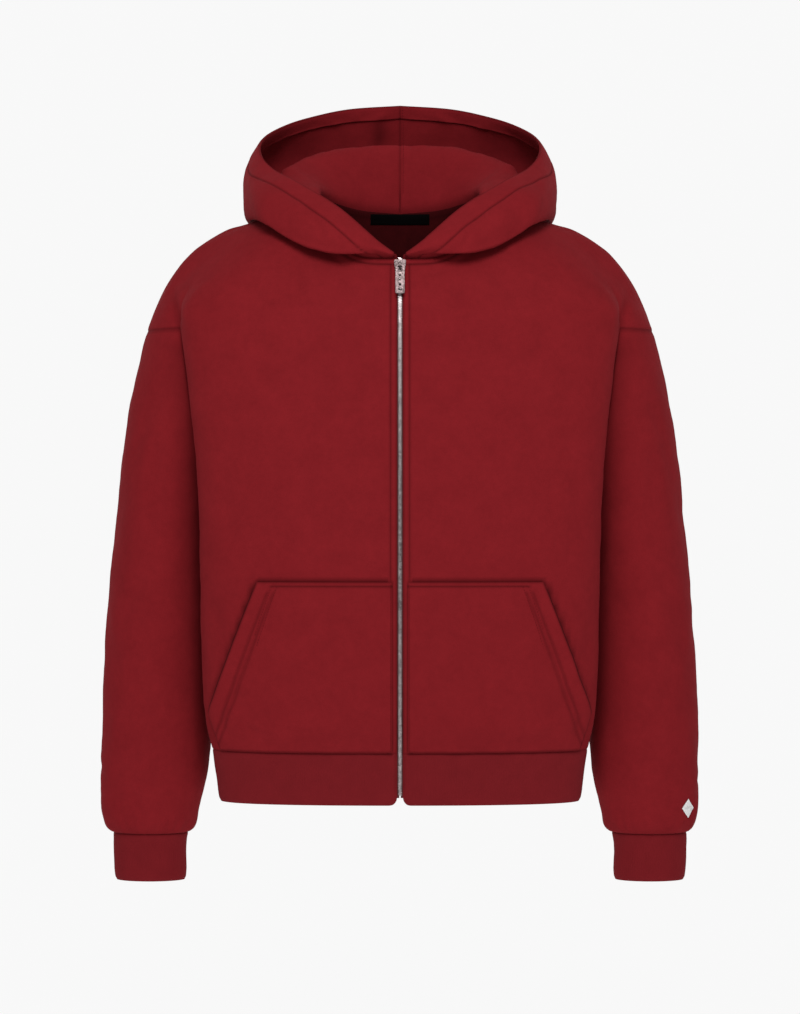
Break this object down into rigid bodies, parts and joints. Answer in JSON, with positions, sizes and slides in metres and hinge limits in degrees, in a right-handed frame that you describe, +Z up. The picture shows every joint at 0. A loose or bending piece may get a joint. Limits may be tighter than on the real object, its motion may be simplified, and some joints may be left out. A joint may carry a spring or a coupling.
{
  "type": "zip up hoodie",
  "caption": "Boxy drop-shoulder hoodie with a full front zip, kangaroo pocket halves, rib cuffs and hem, in its worn hollow shape with the hood down.",
  "frame": {"origin": "between the shoulders at neck height, where the wearer holds the garment up", "axes": "+Z up, -Y towards the garment's front, +X towards the wearer's left"},
  "size_m": [0.6714, 0.3577, 0.8961],
  "materials": {
    "fleece": "matte brushed cotton fleece, deep red",
    "rib": "fine 1x1 rib knit, deep red",
    "zip_tape": "woven polyester tape, deep red",
    "zip_metal": "silver-toned metal",
    "label": "black satin-woven, blank",
    "motif": "white satin stitch embroidery"
  },
  "bodies": {
    "garment": {"front_left": "fleece", "front_right": "fleece", "back": "fleece", "sleeve_left": "fleece", "sleeve_right": "fleece", "cuff_left": "rib", "cuff_right": "rib", "hem_band": "rib", "hood_left": "fleece", "hood_right": "fleece", "pocket_left": "fleece", "pocket_right": "fleece", "zip_tape_left": "zip_tape", "zip_tape_right": "zip_tape", "zip_chain": "zip_metal", "zip_slider": "zip_metal", "neck_label": "label", "sleeve_motif": "motif"},
    "pull_tab": {"zip_pull": "zip_metal"}
  },
  "joints": [
    {"name": "pull_swing", "type": "hinge", "parent": "garment", "child": "pull_tab", "pos_m": [0, -0.1145, -0.0488], "axis": [-1, 0, 0], "range_deg": [0, 150]}
  ]
}
